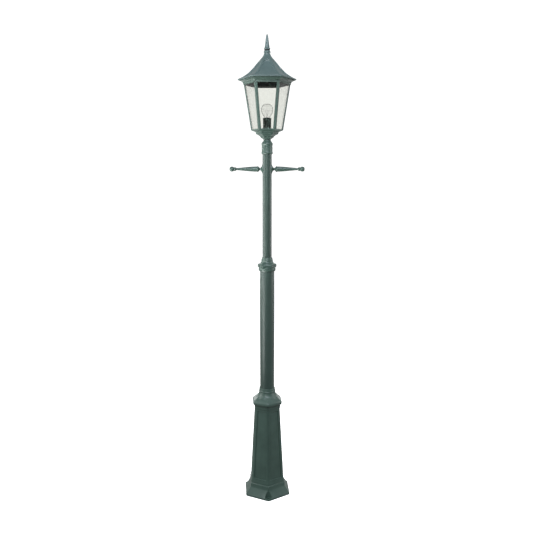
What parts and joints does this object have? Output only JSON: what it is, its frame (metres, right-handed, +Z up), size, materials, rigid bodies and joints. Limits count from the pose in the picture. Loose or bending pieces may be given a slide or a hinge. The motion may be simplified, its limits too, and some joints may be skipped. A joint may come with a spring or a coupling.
{
  "type": "street lamp post",
  "caption": "Tall lamp post with a hexagonal pedestal, stepped round column, ladder bar and a glazed hexagonal lantern under a flared roof.",
  "frame": {"origin": "centre of the pedestal's underside, on the ground", "axes": "+Z up the post, -Y towards the viewer in front, the ladder bar along X"},
  "size_m": [0.384, 0.268, 2.4],
  "materials": {
    "green_paint": "cast and drawn aluminium in satin grey-green paint",
    "roof_paint": "cast aluminium in satin grey-green paint",
    "steel": "zinc plated",
    "brass": "bare",
    "pane_glass": "bevelled clear glass",
    "bulb_glass": "thin clear glass",
    "rubber": "matt",
    "holder_plastic": "moulded",
    "terminal_plastic": "moulded",
    "cap_metal": "rolled",
    "filament": "fine wire"
  },
  "bodies": {
    "post": {"base_pedestal": "green_paint", "base_set_screw_1": "steel", "base_set_screw_2": "steel", "base_set_screw_3": "steel", "lower_column": "green_paint", "column_coupling": "green_paint", "coupling_set_screw_1": "steel", "coupling_set_screw_2": "steel", "coupling_set_screw_3": "steel", "upper_column": "green_paint", "ladder_stud": "steel"},
    "boss_left": {"ladder_boss_left": "green_paint"},
    "arm_left": {"ladder_arm_left": "green_paint"},
    "boss_right": {"ladder_boss_right": "green_paint"},
    "arm_right": {"ladder_arm_right": "green_paint"},
    "roof": {"roof_shell": "roof_paint"},
    "finial_seal": {"finial_washer": "rubber"},
    "finial": {"finial": "roof_paint"},
    "bulb_tip": {"bulb_contact": "cap_metal"},
    "bulb": {"bulb_cap": "cap_metal", "bulb_envelope": "bulb_glass", "bulb_mount": "bulb_glass", "bulb_filament": "filament"},
    "lantern": {"lantern_collar": "green_paint", "collar_set_screw_1": "steel", "collar_set_screw_2": "steel", "collar_set_screw_3": "steel", "stem_nipple": "steel", "nipple_nut_lower": "steel", "nipple_nut_upper": "steel", "lantern_dish": "green_paint", "cage_bottom_ring": "green_paint", "mullion_1": "green_paint", "mullion_2": "green_paint", "mullion_3": "green_paint", "mullion_4": "green_paint", "mullion_5": "green_paint", "mullion_6": "green_paint", "glass_pane_1": "pane_glass", "glass_pane_2": "pane_glass", "glass_pane_3": "pane_glass", "glass_pane_4": "pane_glass", "glass_pane_5": "pane_glass", "glass_pane_6": "pane_glass", "cage_top_ring": "green_paint", "roof_bridge": "steel", "bridge_screw_1": "steel", "bridge_screw_2": "steel", "tie_stud": "steel", "tie_nut": "steel", "holder_strap": "steel", "strap_screw_1": "steel", "strap_screw_2": "steel", "lampholder_body": "holder_plastic", "lampholder_shell": "brass", "lampholder_contact": "brass", "terminal_block": "terminal_plastic"}
  },
  "joints": [
    {"name": "lantern_swivel", "type": "hinge", "parent": "post", "child": "lantern", "pos_m": [0, 0, 1.8666], "axis": [0, 0, 1], "range_deg": [-180, 180]},
    {"name": "roof_lift", "type": "slide", "parent": "lantern", "child": "roof", "axis": [0, 0, 1], "range_m": [0, 0.2]},
    {"name": "finial_rise", "type": "slide", "parent": "roof", "child": "finial_seal", "axis": [0, 0, 1], "range_m": [0, 0.0205]},
    {"name": "finial_turn", "type": "hinge", "parent": "finial_seal", "child": "finial", "pos_m": [0, 0, 2.3265], "axis": [0, 0, 1], "range_deg": [0, 5760]},
    {"name": "bulb_rise", "type": "slide", "parent": "lantern", "child": "bulb_tip", "axis": [0, 0, 1], "range_m": [0, 0.0185]},
    {"name": "bulb_turn", "type": "hinge", "parent": "bulb_tip", "child": "bulb", "pos_m": [0, 0, 1.9603], "axis": [0, 0, 1], "range_deg": [0, 1800]},
    {"name": "boss_left_slide", "type": "slide", "parent": "post", "child": "boss_left", "axis": [-1, 0, 0], "range_m": [0, 0.0125]},
    {"name": "arm_left_turn", "type": "hinge", "parent": "boss_left", "child": "arm_left", "pos_m": [-0.06, 0, 1.742], "axis": [-1, 0, 0], "range_deg": [0, 3600]},
    {"name": "boss_right_slide", "type": "slide", "parent": "post", "child": "boss_right", "axis": [1, 0, 0], "range_m": [0, 0.0125]},
    {"name": "arm_right_turn", "type": "hinge", "parent": "boss_right", "child": "arm_right", "pos_m": [0.06, 0, 1.742], "axis": [1, 0, 0], "range_deg": [0, 3600]}
  ],
  "couplings": [
    {"joint": "finial_rise", "follows": "finial_turn", "m_per_rad": 0.00019894},
    {"joint": "bulb_rise", "follows": "bulb_turn", "m_per_rad": 0.00057757},
    {"joint": "arm_left_turn", "follows": "boss_left_slide", "rad_per_m": 5026.5},
    {"joint": "arm_right_turn", "follows": "boss_right_slide", "rad_per_m": 5026.5}
  ]
}
